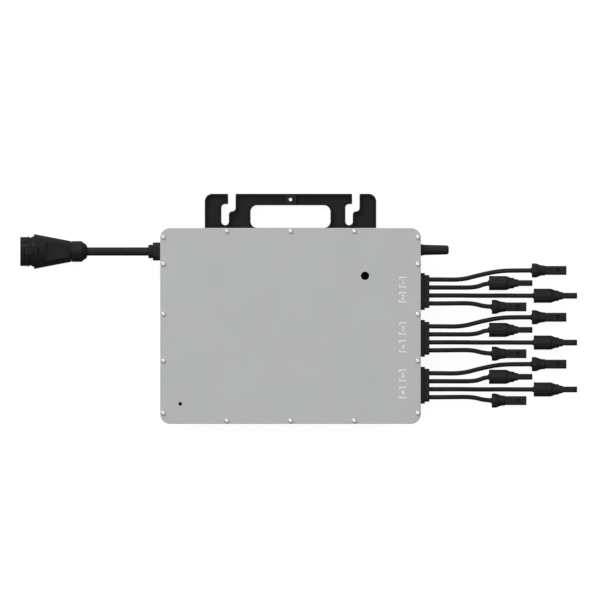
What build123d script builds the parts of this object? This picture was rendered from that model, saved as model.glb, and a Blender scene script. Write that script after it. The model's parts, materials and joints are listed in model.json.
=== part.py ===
from build123d import *
import math
import os

# Flat grid-tie inverter lying on its cooling fins, in millimetres.
# +X runs towards the DC leads, +Y towards the hanging bracket, +Z out of the cover.
# The origin is in the middle of the body, in the plane of the fin tips.

# Body: a die-cast tub with a flange, closed by a flat cover
BODY_X = 344.0
BODY_Y = 258.5
BODY_R = 13.0
BASE_Z = 11.0
FLOOR_Z = 13.5
FLANGE_Z = 37.5
FLANGE_T = 4.0
COVER_T = 2.5
COVER_Z = FLANGE_Z + COVER_T
TUB_IN = 5.5
CAVITY_IN = 10.5
PAD_X = BODY_X / 2 - CAVITY_IN
FIN_T = 2.2
FIN_PITCH = 9.0
FIN_COUNT_EACH_SIDE = 18
FIN_END_Y = 121.0
FIN_SLOPE = 5.0
FIN_FREE_X = 118.0
FIN_FREE_Y = 94.0
DC_PAD_HALF_Y = 27.0
ANTENNA_PAD_HALF_Y = 11.0
AC_PAD_HALF_Y = 14.0

# Cover gasket, in a groove between the screws and the cavity
GROOVE_IN = 7.0
GROOVE_W = 2.4
GROOVE_DEEP = 1.5
SEAL_GAP = 0.2

# Cover screws, M3 pan heads set in from the edge
SCREW_IN = 4.1
SCREW_ROW_X = (-84.0, 0.0, 84.0)
SCREW_COLUMN_Y = (117.3, 81.8, 15.7, -45.9, -115.0)
M3_R = 1.5
M3_HOLE_R = 1.56
M3_CLEAR_R = 1.75
M3_HEAD_R = 2.9
M3_HEAD_H = 2.1
M3_LENGTH = 10.0
COLUMN_R = 4.1
COLUMN_Z = 22.0

# Breather vent and status light in the cover
VENT_X, VENT_Y = 98.4, 66.1
VENT_R = 5.5
VENT_FLANGE_R = 8.0
LIGHT_X, LIGHT_Y = -145.5, -102.9
LIGHT_R = 2.4

# Hanging bracket: a ribbed plate under the body, with two stepped hook slots
BRACKET_HALF_X = 113.2
BRACKET_TOP_Y = 174.4
BRACKET_LOW_Y = 97.0
BRACKET_R = 10.0
BRACKET_Z = 3.0
BRACKET_T = BASE_Z - BRACKET_Z
BRACKET_WEB_T = 3.0
RIM_W = 2.0
WINDOW_HALF_X = 52.7
WINDOW_Y = (129.5, 159.2)
WINDOW_R = 8.6
EARTH_Y = 166.8
EARTH_R = 2.1
EARTH_BOSS_HALF_X = 7.4
HOOK_SEAT_X = (-86.3, 77.3)
HOOK_HALF_W = 4.85
HOOK_STEP_X = 8.9
HOOK_LOW_Y = 133.0
HOOK_LEDGE_Y = 151.3
HOOK_POCKET_Y = 160.7
HOOK_MOUTH_R = 1.3
BRACKET_SCREW_X = (-98.0, -34.0, 34.0, 98.0)
BRACKET_SCREW_Y = 111.0
BRACKET_COLUMN_R = 5.5
BRACKET_COLUMN_Z = 20.0
BRACKET_COLLAR_R = 7.0
M5_R = 2.5
M5_HOLE_R = 2.56
M5_CLEAR_R = 2.8

# Stub antenna
ANTENNA_Y = 100.3
ANTENNA_Z = 25.0
ANTENNA_TIP_X = 209.0
ANTENNA_BASE_R = 6.95
ANTENNA_TIP_R = 6.05

# AC gland, cable and plug, all on one line along X
AC_Y = 98.2
AC_Z = 23.1
AC_CABLE_R = 5.55
AC_GLAND_HEX_X = -181.8
AC_GLAND_HEX_R = 12.0
AC_GLAND_END_X = -187.8
AC_GLAND_NUT_R = 9.0
AC_GLAND_BORE_R = 7.0
AC_GLAND_SEAT_R = 7.7
AC_GLAND_THREAD_R = 8.0
AC_NUT_END_X = -268.2
AC_CABLE_X = (-277.0, -176.0)
AC_BORE_R = 5.65
PLUG_NUT_R = 13.75
PLUG_NUT_X = (-288.6, -275.4)
PLUG_NECK_R = 13.25
PLUG_THREAD_R = 10.0
PLUG_THREAD_X = -281.0
PLUG_CONE_X = (-338.6, -290.0)
PLUG_CONE_R = (22.95, 13.8)
PLUG_GRIP_X = (-323.6, -292.4)
PLUG_FRONT_X = -356.8
PLUG_SLEEVE_R = 19.2
PLUG_SLEEVE_X = -347.4
PLUG_BORE_R = 13.5
PLUG_BORE_X = -322.0
PLUG_CORE_R = 9.0
PLUG_CORE_X = -302.0
PLUG_FACE_SEAL_R = 11.8
PLUG_FACE_SEAL_X = (-353.0, -350.0)
GROMMET_R = 8.0
GROMMET_X = (-287.9, -281.0)
LATCH_HALF_W = 5.2
LATCH_NOSE_X = -351.6
LATCH_TAIL_X = -331.4
LATCH_SLOT_X = (-351.9, -330.5)
LATCH_SLOT_LOW = 14.9
LATCH_CROWN_R = 18.6
LATCH_PIN_X = -336.5
LATCH_PIN_UP = 17.2
LATCH_PIN_R = 0.9
CONTACT_CIRCLE_R = 7.4
CONTACT_R = 2.3

# DC gland blocks on the right-hand wall, four leads in each
BLOCK_Y = (45.4, -16.4, -78.3)
BLOCK_Z = 25.0
BLOCK_WIDE = (48.8, 43.7)
BLOCK_TALL = (19.0, 15.0)
BLOCK_STEP_X = 177.4
BLOCK_END_X = 183.4
SPIGOT = (42.4, 11.0)
SPIGOT_R = 4.0
LEAD_D = 5.94
LEAD_BORE_R = 3.05
LEAD_PITCH = 10.56
LEAD_START_X = 176.0
LEAD_REST_Z = 9.6

# DC connectors, each described along its own axis from the rear of its cap nut
CAP_R = 9.5
PLUG_L = 57.4
PLUG_CAP_L = 21.8
PLUG_COLLAR_L = 38.3
NOSE_R = 3.9
SOCKET_L = 45.9
SOCKET_CAP_L = 17.6
SOCKET_W = 11.9
SOCKET_H = 16.5
SOCKET_BORE_R = 4.05
ARM_HALF_W = 2.8
ARM_LOW = 5.6
ARM_TOP = 7.2
SEAL_BORE_R = 4.9
SEAL_L = 9.0
CRIMP_R = 2.4
PIN_R = 1.45
LEAD_IN_CAP = 10.0

# Each lead of a block: connector, its rear end in X and its offset in Y from the block, and
# the inner corners of the route as X, offset in Y, and Z
LEADS = (
    ("socket", 318.4, 27.8, ((196, 15.84, 25), (226, 15.4, 19.2), (251, 22.2, 11.4),
                             (277, 27.4, 6.8), (305, 27.8, 9.6))),
    ("plug", 262.0, 11.1, ((193, 5.28, 25), (218, 5.2, 20.0), (244.5, 5.2, 11.6),
                           (258.5, 11.1, 9.6))),
    ("plug", 321.0, -5.6, ((195, -5.28, 25), (223, -5.2, 19.8), (252, -5.6, 11.2),
                           (280, -5.4, 6.9), (307, -5.6, 9.6))),
    ("socket", 265.6, -20.3, ((194, -15.84, 25), (215.5, -15.6, 20.4), (240.5, -15.4, 12.0),
                              (258, -20.3, 9.6))),
)

# Main board and what stands on it
BOARD_X = (-148.0, 148.0)
BOARD_Y = (-108.0, 100.0)
BOARD_Z = 20.0
BOARD_T = 1.6
BOARD_SCREW_X = (-138.0, -56.0, 22.0, 143.0)
BOARD_SCREW_Y = (-100.0, 92.0)
STANDOFF_R = 3.8


def span(x, y, z):
    """A box between a low and a high value on each axis."""
    sizes = [high - low for low, high in (x, y, z)]
    middle = [(high + low) / 2 for low, high in (x, y, z)]
    return Pos(*middle) * Box(*sizes)


def rod_z(radius, z0, z1, x=0.0, y=0.0):
    """An upright cylinder."""
    return Pos(x, y, (z0 + z1) / 2) * Cylinder(radius, z1 - z0)


def rod_x(radius, x0, x1, y=0.0, z=0.0):
    """A cylinder lying along X."""
    return Pos((x0 + x1) / 2, y, z) * Rot(0, 90, 0) * Cylinder(radius, abs(x1 - x0))


def rod_y(radius, half, x, y, z):
    """A cylinder lying along Y, half its length either side of y."""
    return Pos(x, y, z) * Rot(90, 0, 0) * Cylinder(radius, 2 * half)


def plate(size_x, size_y, radius, z0, z1):
    """A flat plate with rounded corners, about the Z axis."""
    return extrude(Pos(0, 0, z0) * RectangleRounded(size_x, size_y, radius), z1 - z0)


def body_plate(inset, z0, z1):
    """A plate with the body's outline moved inwards."""
    radius = max(BODY_R - inset, 3.0)
    return plate(BODY_X - 2 * inset, BODY_Y - 2 * inset, radius, z0, z1)


def block_x(wide, tall, radius, x0, x1, y=0.0, z=0.0):
    """A rounded bar along X, wide in Y and tall in Z."""
    outline = Plane.YZ * RectangleRounded(wide, tall, radius)
    return Pos(x0, y, z) * extrude(outline, x1 - x0, dir=(1, 0, 0))


def turned(stations, closed=False):
    """A turned piece about the X axis, from (x, radius) stations; closed ones are rings."""
    if closed:
        outline = list(stations)
    else:
        outline = [(stations[0][0], 0), *stations, (stations[-1][0], 0)]
    face = make_face(Polyline(*outline, close=True))
    return revolve(face, Axis.X)


def ring_x(outer, inner, x0, x1, y=0.0, z=0.0):
    """A plain ring along X."""
    return rod_x(outer, x0, x1, y, z) - rod_x(inner, x0 - 1, x1 + 1, y, z)


def around_x(piece, count, start=0.0):
    """Copies of a piece, evenly spaced around the X axis."""
    return [Rot(start + 360 * turn / count, 0, 0) * piece for turn in range(count)]


def save(node, pieces):
    """Writes one node's STEP file."""
    solids = []
    for piece in pieces if isinstance(pieces, (list, tuple)) else [pieces]:
        solids += piece.solids()
    whole = solids[0] if len(solids) == 1 else Compound(children=solids)
    whole.label = node
    export_step(whole, os.path.join("parts", node + ".step"))


def cover_screw_places():
    """The sixteen screw positions, in rows along the top and bottom and columns at the sides."""
    row_y = BODY_Y / 2 - SCREW_IN
    column_x = BODY_X / 2 - SCREW_IN
    rows = [(x, side * row_y) for side in (1, -1) for x in SCREW_ROW_X]
    columns = [(side * column_x, y) for side in (1, -1) for y in SCREW_COLUMN_Y]
    return rows + columns


def board_screw_places():
    return [(x, y) for x in BOARD_SCREW_X for y in BOARD_SCREW_Y]


def screw(shank_r, length, head_r, head_h, recess_r):
    """A domed screw with a hexagonal recess, its head resting on z = 0."""
    head = fillet(rod_z(head_r, 0, head_h).edges().group_by(Axis.Z)[-1], head_h * 0.6)
    recess = extrude(Pos(0, 0, head_h * 0.4) * RegularPolygon(recess_r, 6), head_h)
    return head + rod_z(shank_r, -length, 0) - recess


def fin(x):
    """One cooling fin along Y with sloping ends, shorter where the bracket passes."""
    low = -FIN_END_Y
    high = FIN_FREE_Y if abs(x) < FIN_FREE_X else FIN_END_Y
    root = BASE_Z + 0.5
    outline = Polyline((low, root), (low + FIN_SLOPE, 0), (high - FIN_SLOPE, 0), (high, root),
                       close=True)
    return Pos(x, 0, 0) * extrude(Plane.YZ * make_face(outline), FIN_T / 2, both=True)


def side_openings():
    """The holes through the end walls for the gland, the antenna and the DC blocks."""
    wall = (PAD_X - 2, BODY_X / 2 + 2)
    holes = [rod_x(AC_GLAND_THREAD_R + 0.1, -wall[1], -wall[0], AC_Y, AC_Z)]
    holes.append(rod_x(4.1, *wall, ANTENNA_Y, ANTENNA_Z))
    for y in BLOCK_Y:
        holes.append(block_x(SPIGOT[0] + 0.4, SPIGOT[1] + 0.4, 4.2, *wall, y, BLOCK_Z))
    return holes


def make_housing():
    shell = body_plate(TUB_IN, BASE_Z, FLANGE_Z) + body_plate(0, FLANGE_Z - FLANGE_T, FLANGE_Z)
    shell += [rod_z(COLUMN_R, COLUMN_Z, FLANGE_Z, x, y) for x, y in cover_screw_places()]
    pad = (PAD_X, BODY_X / 2)
    tall = (BASE_Z, FLANGE_Z - 1)
    for y in BLOCK_Y:
        shell += span(pad, (y - DC_PAD_HALF_Y, y + DC_PAD_HALF_Y), tall)
    shell += span(pad, (ANTENNA_Y - ANTENNA_PAD_HALF_Y, ANTENNA_Y + ANTENNA_PAD_HALF_Y), tall)
    shell += span((-pad[1], -pad[0]), (AC_Y - AC_PAD_HALF_Y, AC_Y + AC_PAD_HALF_Y), tall)
    shell -= body_plate(CAVITY_IN, FLOOR_Z, FLANGE_Z + 1)
    fins = [fin(n * FIN_PITCH) for n in range(-FIN_COUNT_EACH_SIDE, FIN_COUNT_EACH_SIDE + 1)]
    shell += fins
    shell += [rod_z(STANDOFF_R, FLOOR_Z - 1, BOARD_Z, x, y) for x, y in board_screw_places()]
    shell += [rod_z(BRACKET_COLUMN_R, FLOOR_Z - 1, BRACKET_COLUMN_Z, x, BRACKET_SCREW_Y)
              for x in BRACKET_SCREW_X]
    groove = body_plate(GROOVE_IN, FLANGE_Z - GROOVE_DEEP, FLANGE_Z + 1)
    groove -= body_plate(GROOVE_IN + GROOVE_W, FLANGE_Z - GROOVE_DEEP - 1, FLANGE_Z + 2)
    shell -= groove
    shell -= [rod_z(M3_HOLE_R, FLANGE_Z - M3_LENGTH, FLANGE_Z + 1, x, y)
              for x, y in cover_screw_places()]
    shell -= [rod_z(M3_HOLE_R, FLOOR_Z + 0.5, BOARD_Z + 1, x, y) for x, y in board_screw_places()]
    shell -= [rod_z(M5_HOLE_R, BASE_Z - 1, BRACKET_COLUMN_Z - 2, x, BRACKET_SCREW_Y)
              for x in BRACKET_SCREW_X]
    shell -= side_openings()
    return shell


def make_cover_parts():
    cover = body_plate(0, FLANGE_Z, COVER_Z)
    cover = fillet(cover.edges().group_by(Axis.Z)[-1], 0.8)
    cover -= [rod_z(M3_CLEAR_R, FLANGE_Z - 1, COVER_Z + 1, x, y) for x, y in cover_screw_places()]
    cover -= rod_z(VENT_R, FLANGE_Z - 1, COVER_Z + 1, VENT_X, VENT_Y)
    cover -= rod_z(LIGHT_R, FLANGE_Z - 1, COVER_Z + 1, LIGHT_X, LIGHT_Y)
    save("front_cover", cover)

    seal = body_plate(GROOVE_IN + SEAL_GAP, FLANGE_Z - GROOVE_DEEP, FLANGE_Z)
    seal -= body_plate(GROOVE_IN + GROOVE_W - SEAL_GAP, FLANGE_Z - 2 * GROOVE_DEEP, FLANGE_Z + 1)
    save("cover_seal", seal)

    one = screw(M3_R, COVER_T + 7.0, M3_HEAD_R, M3_HEAD_H, 1.4)
    save("cover_screws", [Pos(x, y, COVER_Z) * one for x, y in cover_screw_places()])


def make_vent_and_light():
    low = FLANGE_Z - 3.0
    face = COVER_Z - 0.9
    body = rod_z(VENT_R - 0.1, low, face) + rod_z(VENT_FLANGE_R, low, FLANGE_Z - 0.8)
    body -= rod_z(3.2, low - 1, face - 1.2)
    body -= [Rot(0, 0, 60 * n) * span((2.2, 3.0), (-0.8, 0.8), (face - 2, face + 1)) for n in range(6)]
    place = Pos(VENT_X, VENT_Y, 0)
    save("vent_body", place * body)
    save("vent_membrane", place * rod_z(3.1, face - 1.6, face - 1.3))
    ring = rod_z(VENT_FLANGE_R - 0.4, FLANGE_Z - 0.8, FLANGE_Z) - rod_z(VENT_R + 0.1, low, COVER_Z)
    save("vent_seal", place * ring)

    lens = rod_z(LIGHT_R - 0.05, FLANGE_Z - 6, COVER_Z - 0.2) + rod_z(3.6, FLANGE_Z - 1.5, FLANGE_Z)
    lens = fillet(lens.edges().group_by(Axis.Z)[-1], 0.5)
    save("led_lens", Pos(LIGHT_X, LIGHT_Y, 0) * lens)


def hook_slot(seat_x):
    """A slot open at the top that steps sideways down to a round seat for an M8 bolt."""
    half = HOOK_HALF_W
    near = seat_x + HOOK_STEP_X - half
    far = seat_x + HOOK_STEP_X + half
    above = BRACKET_TOP_Y + 3
    turn = HOOK_STEP_X / 2 - 0.05
    corners = (
        ((seat_x - half, HOOK_LOW_Y), half - 0.05),
        ((seat_x + half, HOOK_LOW_Y), half - 0.05),
        ((seat_x + half, HOOK_LEDGE_Y), turn),
        ((far, HOOK_LEDGE_Y), turn),
        ((far, above), 0),
        ((near, above), 0),
        ((near, HOOK_POCKET_Y), 1.0),
        ((seat_x - half, HOOK_POCKET_Y), half - 0.05),
    )
    points = [point for point, _ in corners]
    radii = [radius for _, radius in corners]
    return make_face(FilletPolyline(*points, radius=radii, close=True))


def bracket_outline():
    """The bracket seen from the front."""
    middle = (BRACKET_TOP_Y + BRACKET_LOW_Y) / 2
    tall = BRACKET_TOP_Y - BRACKET_LOW_Y
    outline = Pos(0, middle) * RectangleRounded(2 * BRACKET_HALF_X, tall, BRACKET_R)
    window = RectangleRounded(2 * WINDOW_HALF_X, WINDOW_Y[1] - WINDOW_Y[0], WINDOW_R)
    outline -= Pos(0, sum(WINDOW_Y) / 2) * window
    for x in HOOK_SEAT_X:
        outline -= hook_slot(x)
    mouths = [corner for corner in outline.vertices()
              if abs(corner.Y - BRACKET_TOP_Y) < 0.01 and abs(corner.X) < BRACKET_HALF_X - BRACKET_R - 1]
    return fillet(mouths, HOOK_MOUTH_R)


def make_bracket():
    outline = bracket_outline()
    top = BRACKET_Z + BRACKET_T
    body = extrude(Pos(0, 0, BRACKET_Z) * outline, BRACKET_T)
    hollow = extrude(Pos(0, 0, BRACKET_Z + BRACKET_WEB_T) * offset(outline, -RIM_W), BRACKET_T)
    hollow -= span((-EARTH_BOSS_HALF_X, EARTH_BOSS_HALF_X), (WINDOW_Y[1] - 1, BRACKET_TOP_Y),
                   (BRACKET_Z, top + 9))
    hollow -= [rod_z(BRACKET_COLLAR_R, BRACKET_Z, top + 9, x, BRACKET_SCREW_Y) for x in BRACKET_SCREW_X]
    body -= hollow
    body -= [rod_z(M5_CLEAR_R, BRACKET_Z - 1, top + 1, x, BRACKET_SCREW_Y) for x in BRACKET_SCREW_X]
    body -= rod_z(EARTH_R, BRACKET_Z - 1, top + 1, 0, EARTH_Y)
    save("mounting_bracket", body)

    one = screw(M5_R, 14.0, 4.6, 2.2, 2.2)
    save("bracket_screws", [Pos(x, BRACKET_SCREW_Y, BRACKET_Z) * Rot(180, 0, 0) * one
                            for x in BRACKET_SCREW_X])


def make_antenna():
    wall = BODY_X / 2
    tip = ANTENNA_TIP_X
    sleeve = turned(((wall, ANTENNA_BASE_R), (tip, ANTENNA_TIP_R)))
    sleeve = fillet(sleeve.edges().group_by(Axis.X)[-1], 3.3)
    sleeve += turned(((wall, ANTENNA_BASE_R + 0.6), (wall + 3, ANTENNA_BASE_R + 0.45),
                      (wall + 3.6, ANTENNA_BASE_R - 0.1)))
    sleeve += rod_x(4.0, PAD_X - 4, wall + 1)
    sleeve -= rod_x(1.6, PAD_X - 5, tip - 6)
    place = Pos(0, ANTENNA_Y, ANTENNA_Z)
    save("antenna_cover", place * sleeve)
    save("antenna_element", place * rod_x(1.2, PAD_X - 3, tip - 7))


def make_ac_gland():
    wall = -BODY_X / 2
    place = Pos(0, AC_Y, AC_Z)
    hexagon = Plane.YZ * RegularPolygon(AC_GLAND_HEX_R, 6)
    bore = rod_x(AC_BORE_R, -200, -150)
    seat = AC_GLAND_HEX_X - 3.2
    body = Pos(AC_GLAND_HEX_X, 0, 0) * extrude(hexagon, wall - AC_GLAND_HEX_X, dir=(1, 0, 0))
    body &= turned(((AC_GLAND_HEX_X, AC_GLAND_HEX_R - 0.9), (AC_GLAND_HEX_X + 1, AC_GLAND_HEX_R),
                    (wall, AC_GLAND_HEX_R)))
    body += rod_x(AC_GLAND_THREAD_R, wall - 1, -PAD_X + 6)
    body += rod_x(AC_GLAND_SEAT_R, seat, AC_GLAND_HEX_X + 1)
    body -= bore
    body -= rod_x(AC_GLAND_BORE_R, seat - 1, AC_GLAND_HEX_X + 4)
    save("ac_gland_body", place * body)

    nut = turned(((AC_GLAND_END_X, AC_GLAND_NUT_R - 0.9), (AC_GLAND_END_X + 1, AC_GLAND_NUT_R),
                  (AC_GLAND_HEX_X - 0.05, AC_GLAND_NUT_R)))
    nut -= bore
    nut -= rod_x(AC_GLAND_SEAT_R + 0.05, seat - 0.1, AC_GLAND_HEX_X + 1)
    groove = Pos(AC_GLAND_HEX_X - 2, 0, AC_GLAND_NUT_R + 0.45) * Rot(0, 90, 0) * Cylinder(0.8, 9)
    nut -= around_x(groove, 12, 15)
    save("ac_gland_nut", place * nut)

    seal = ring_x(AC_GLAND_BORE_R - 0.05, AC_CABLE_R + 0.01, seat, AC_GLAND_HEX_X + 3.9)
    save("ac_gland_seal", place * seal)
    lock = ring_x(9.3, AC_GLAND_THREAD_R + 0.05, -PAD_X, -PAD_X + 3)
    lock -= around_x(span((-PAD_X - 1, -PAD_X + 4), (-1.2, 1.2), (8.6, 10)), 6)
    save("ac_gland_locknut", place * lock)
    save("ac_cable", place * rod_x(AC_CABLE_R, *AC_CABLE_X))


def plug_grip_recess():
    """One flat finger recess on top of the plug's cone, deepest towards the cable."""
    back, front = PLUG_GRIP_X
    side = Plane.XZ * make_face(Polyline((back, 15.2), (front, 12.2), (front, 40), (back, 40),
                                         close=True))
    plan = make_face(Polyline((back, -12.9), (back, 12.9), (front, 7), (front, -7), close=True))
    return extrude(side, 20, both=True) & extrude(plan, 50)


def make_plug_body():
    cone_low, cone_high = PLUG_CONE_X
    flare_r, neck_r = PLUG_CONE_R
    sleeve_r = PLUG_SLEEVE_R
    neck_end = PLUG_NUT_X[0] - 0.05
    body = turned((
        (PLUG_FRONT_X, sleeve_r), (PLUG_SLEEVE_X, sleeve_r), (-346.9, sleeve_r + 0.55),
        (-345.2, sleeve_r + 0.55), (-344.3, sleeve_r - 0.7), (-342.6, sleeve_r - 0.7),
        (-341.4, sleeve_r + 0.5), (-340.0, sleeve_r + 0.7), (cone_low, sleeve_r + 1.1),
        (cone_low, flare_r), (cone_low + 1.0, flare_r), (cone_high, neck_r),
        (cone_high, PLUG_NECK_R), (neck_end, PLUG_NECK_R), (neck_end, PLUG_THREAD_R),
        (PLUG_THREAD_X, PLUG_THREAD_R),
    ))
    body -= rod_x(PLUG_BORE_R, PLUG_FRONT_X - 1, PLUG_BORE_X)
    body -= rod_x(PLUG_CORE_R, PLUG_BORE_X - 1, PLUG_CORE_X)
    body -= rod_x(AC_BORE_R, PLUG_CORE_X - 1, PLUG_THREAD_X + 1)
    body -= rod_x(GROMMET_R + 0.1, GROMMET_X[0] - 0.1, PLUG_THREAD_X + 1)
    recess = plug_grip_recess()
    body -= [recess, Rot(180, 0, 0) * recess]
    slot = (-LATCH_HALF_W - 0.25, LATCH_HALF_W + 0.25)
    body -= span(LATCH_SLOT_X, slot, (LATCH_SLOT_LOW, sleeve_r + 0.3))
    body -= span((LATCH_SLOT_X[0], cone_low), slot, (LATCH_SLOT_LOW, flare_r + 2))
    body -= span((LATCH_TAIL_X - 2.7, LATCH_TAIL_X - 1.1), slot, (LATCH_PIN_UP, flare_r + 2))
    body -= rod_y(LATCH_PIN_R + 0.03, 8.0, LATCH_PIN_X, 0, LATCH_PIN_UP)
    for y in (3.8, -1.6):
        body -= span((PLUG_FRONT_X - 1, PLUG_FRONT_X + 3.3), (y - 1.3, y + 1.3), (17.2, 22))
    for side in (1, -1):
        for y in (11.9, -9.2):
            level = math.sqrt(sleeve_r ** 2 - y ** 2)
            body -= span((PLUG_FRONT_X - 1, PLUG_SLEEVE_X), (y - 0.9, y + 0.9),
                         sorted((side * (level - 1.3), side * (level + 3))))
    return body


def make_plug_nut():
    """The octagonal clamping nut, with fingers in its dome that close on the grommet."""
    low, high = PLUG_NUT_X
    nut = turned((
        (low, PLUG_NUT_R - 0.5), (low + 0.5, PLUG_NUT_R), (high, PLUG_NUT_R),
        (high + 1.9, 11.6), (high + 3.5, 10.8), (high + 5.0, 9.9), (high + 6.3, 8.5),
        (AC_NUT_END_X, 6.6),
    ))
    facets = Plane.YZ * RegularPolygon(PLUG_NUT_R + 0.7, 8)
    nut &= Pos(low, 0, 0) * extrude(facets, AC_NUT_END_X - low, dir=(1, 0, 0))
    nut -= rod_x(AC_BORE_R, low - 1, AC_NUT_END_X + 1)
    nut -= rod_x(PLUG_THREAD_R + 0.05, low - 1, PLUG_THREAD_X + 0.1)
    nut -= around_x(span((high + 2.4, AC_NUT_END_X + 1), (-0.5, 0.5), (6.6, 13)), 8, 22.5)
    return nut


def make_ac_plug():
    place = Pos(0, AC_Y, AC_Z)
    save("ac_plug_body", place * make_plug_body())
    save("ac_plug_nut", place * make_plug_nut())
    save("ac_plug_grommet", place * ring_x(GROMMET_R, AC_CABLE_R + 0.01, *GROMMET_X))

    seal_low, seal_high = PLUG_FACE_SEAL_X
    insert = rod_x(PLUG_BORE_R - 0.1, seal_high, PLUG_BORE_X - 3)
    insert += rod_x(PLUG_FACE_SEAL_R, seal_low - 1.8, seal_high)
    hole = Pos(0, 0, CONTACT_CIRCLE_R) * rod_x(CONTACT_R + 0.05, -356.0, -320.0)
    insert -= around_x(hole, 5)
    save("ac_plug_insert", place * insert)
    contact = ring_x(CONTACT_R, 1.3, -353.6, -343.0) + rod_x(CONTACT_R, -343.5, -325.0)
    contacts = around_x(Pos(0, 0, CONTACT_CIRCLE_R) * contact, 5)
    save("ac_plug_contacts", [place * one for one in contacts])
    save("ac_plug_seal", place * ring_x(PLUG_BORE_R - 0.05, PLUG_FACE_SEAL_R + 0.05, seal_low, seal_high))
    make_latch(place)


def make_latch(place):
    """The rocker on its pin: its nose locks the plug, its tail is pressed to lift the nose."""
    side = make_face(Polyline((LATCH_NOSE_X, 15.9), (LATCH_NOSE_X, 17.4), (LATCH_NOSE_X + 1.4, 19.6),
                              (-339.5, 19.6), (-338.4, 18.9), (LATCH_TAIL_X, 18.9),
                              (LATCH_TAIL_X, 16.8), (-334.5, 15.6), close=True))
    latch = extrude(Plane.XZ * side, LATCH_HALF_W, both=True)
    latch &= rod_x(LATCH_CROWN_R, LATCH_NOSE_X - 1, LATCH_TAIL_X + 1)
    latch -= rod_y(LATCH_PIN_R + 0.04, 20, LATCH_PIN_X, 0, LATCH_PIN_UP)
    latch -= span((-348.6, -347.2), (-3.4, 3.4), (18.6, 21))
    save("ac_plug_latch", place * latch)
    save("ac_plug_latch_pin", place * rod_y(LATCH_PIN_R, 7.9, LATCH_PIN_X, 0, LATCH_PIN_UP))


def make_dc_glands():
    wall = BODY_X / 2
    inner = PAD_X
    seals = []
    clips = []
    for number, y in enumerate(BLOCK_Y, 1):
        place = Pos(0, y, BLOCK_Z)
        step = block_x(BLOCK_WIDE[0], BLOCK_TALL[0], 4.5, wall, BLOCK_STEP_X)
        step = fillet(step.edges().group_by(Axis.X)[-1], 0.5)
        front = block_x(BLOCK_WIDE[1], BLOCK_TALL[1], 4.0, BLOCK_STEP_X - 1, BLOCK_END_X)
        front = fillet(front.edges().group_by(Axis.X)[-1], 0.8)
        body = step + front + block_x(*SPIGOT, SPIGOT_R, inner - 4, wall + 1)
        body -= block_x(46.0, 15.5, 4.0, wall - 1, wall + 1.2) - block_x(*SPIGOT, SPIGOT_R, 150, 200)
        for n in range(4):
            across = (1.5 - n) * LEAD_PITCH
            body -= rod_x(LEAD_BORE_R, 150, 200, across, 0)
            body -= Pos(BLOCK_END_X, across, 0) * turned(((-1.0, 3.0), (0.5, 4.5)))
        save(f"dc_gland_{number}", place * body)
        seals.append(place * (block_x(45.6, 15.1, 4.0, wall, wall + 1.2)
                              - block_x(SPIGOT[0] + 0.3, SPIGOT[1] + 0.3, SPIGOT_R, 150, 200)))
        clips.append(place * (block_x(47.0, 17.0, 2.0, inner - 1.8, inner)
                              - block_x(SPIGOT[0] + 0.1, SPIGOT[1] + 0.1, SPIGOT_R, 150, 200)))
    save("dc_gland_seals", seals)
    save("dc_gland_clips", clips)


def plug_pieces():
    """The plug half of a DC connector, along +X from the rear of its cap nut."""
    cap = turned(((0, CAP_R - 1.0), (1.0, CAP_R), (PLUG_CAP_L - 0.8, CAP_R),
                  (PLUG_CAP_L, CAP_R - 0.8)))
    cap -= around_x(Pos(PLUG_CAP_L / 2 + 1.5, 0, CAP_R + 2.4) * Rot(0, 90, 0)
                    * Cylinder(3.0, PLUG_CAP_L), 10)
    cap -= rod_x(SEAL_BORE_R, -1, SEAL_L)
    cap -= rod_x(7.0, SEAL_L - 1, PLUG_CAP_L + 1)
    body = turned((
        (11.0, 6.9), (PLUG_CAP_L + 0.1, 6.9), (PLUG_CAP_L + 0.1, CAP_R - 0.1), (24.6, 9.0),
        (26.8, 8.2), (29.0, 7.1), (30.2, 6.8), (32.6, 6.8), (34.2, 5.5), (36.9, 5.2),
        (PLUG_COLLAR_L, NOSE_R), (PLUG_L - 0.6, NOSE_R), (PLUG_L, NOSE_R - 0.6),
    ))
    side = make_face(Polyline((30.0, ARM_LOW), (30.0, 6.9), (33.0, ARM_TOP), (44.0, ARM_TOP),
                              (44.3, 6.6), (50.2, 6.6), (50.5, 8.0), (53.5, 8.0), (56.6, 6.4),
                              (56.6, ARM_LOW), close=True))
    arm = extrude(Plane.XZ * side, ARM_HALF_W, both=True)
    body += [arm, Rot(180, 0, 0) * arm]
    body -= rod_x(CRIMP_R + 0.05, LEAD_IN_CAP, PLUG_L + 1)
    contact = ring_x(1.9, PIN_R + 0.05, 34.0, 54.0) + rod_x(CRIMP_R, LEAD_IN_CAP, 34.5)
    return cap, body, contact


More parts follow.
